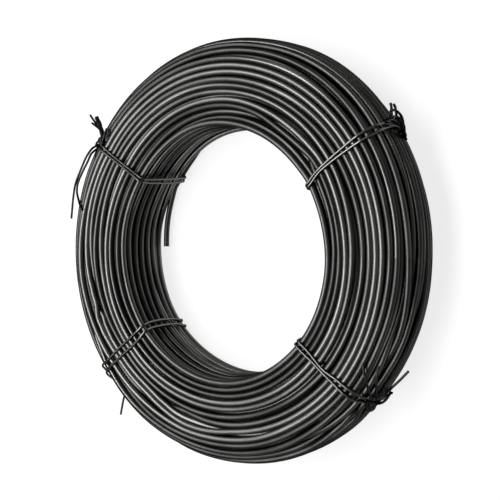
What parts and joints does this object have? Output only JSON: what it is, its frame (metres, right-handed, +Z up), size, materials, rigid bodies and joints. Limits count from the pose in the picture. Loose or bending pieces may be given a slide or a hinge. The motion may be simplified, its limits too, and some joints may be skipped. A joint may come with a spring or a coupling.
{
  "type": "coil of binding wire",
  "caption": "Coil of black annealed binding wire: close turns round an open eye, held by doubled thin wire ties with twisted knots and loose tails.",
  "frame": {"origin": "on the floor under the coil's axis", "axes": "+Z up along the coil's axis, through its front face; +X and +Y across, with +Y where the picture has the top of the coil"},
  "size_m": [0.223, 0.223, 0.0376],
  "materials": {
    "annealed_wire": "dark satin oxide of black annealed steel",
    "tie_wire": "black satin oxide of thin annealed steel wire"
  },
  "bodies": {
    "root": {"wire_coil": "annealed_wire", "tie_upper_left": "tie_wire", "tie_upper_right": "tie_wire", "tie_lower_left": "tie_wire", "tie_lower_right": "tie_wire"}
  },
  "joints": []
}
